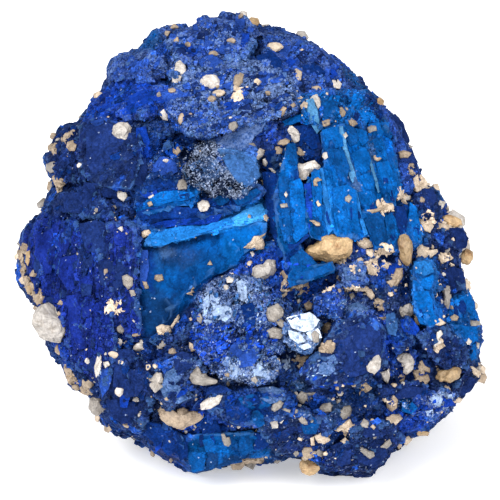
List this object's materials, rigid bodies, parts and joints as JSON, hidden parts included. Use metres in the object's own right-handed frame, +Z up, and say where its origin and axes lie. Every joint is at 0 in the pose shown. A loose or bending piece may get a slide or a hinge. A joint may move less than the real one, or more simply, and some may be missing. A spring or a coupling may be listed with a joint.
{
  "type": "azurite specimen",
  "caption": "Rough lump of blue azurite with blocky crystal faces and embedded sand pebbles, standing on a flat broken base for display or study.",
  "frame": {"origin": "on the flat broken base that the stone rests on, under the middle of the show face", "axes": "+Z up from the surface it rests on, +X to the right of the show face, -Y out of the show face"},
  "size_m": [0.0299, 0.0314, 0.0263],
  "materials": {
    "azurite": "rough broken crystal, blue, dull to glassy",
    "white_quartz": "milky, worn",
    "grey_quartz": "cloudy grey, worn",
    "tan_feldspar": "dull tan, worn",
    "honey_feldspar": "dull honey, worn"
  },
  "bodies": {
    "root": {"azurite_mass": "azurite", "white_pebble_left": "white_quartz", "honey_pebble_centre": "honey_feldspar", "tan_pebble_lower": "tan_feldspar", "tan_pebble_right": "tan_feldspar", "white_pebble_top": "white_quartz", "white_pebble_upper_left": "white_quartz", "white_pebble_middle": "white_quartz", "white_pebble_ribs": "white_quartz", "white_pebble_long": "white_quartz", "tan_pebble_bottom": "tan_feldspar", "tan_pebble_lower_right": "tan_feldspar", "white_pebble_lower_right": "white_quartz", "white_pebble_hooked": "white_quartz", "tan_pebble_rim": "tan_feldspar", "grey_pebble_lower": "grey_quartz", "grey_pebble_diamond": "grey_quartz", "grey_pebble_corner": "grey_quartz", "grey_pebble_slot": "grey_quartz", "grey_pebble_right": "grey_quartz", "grey_pebble_round": "grey_quartz", "tan_pebble_east": "tan_feldspar"}
  },
  "joints": []
}
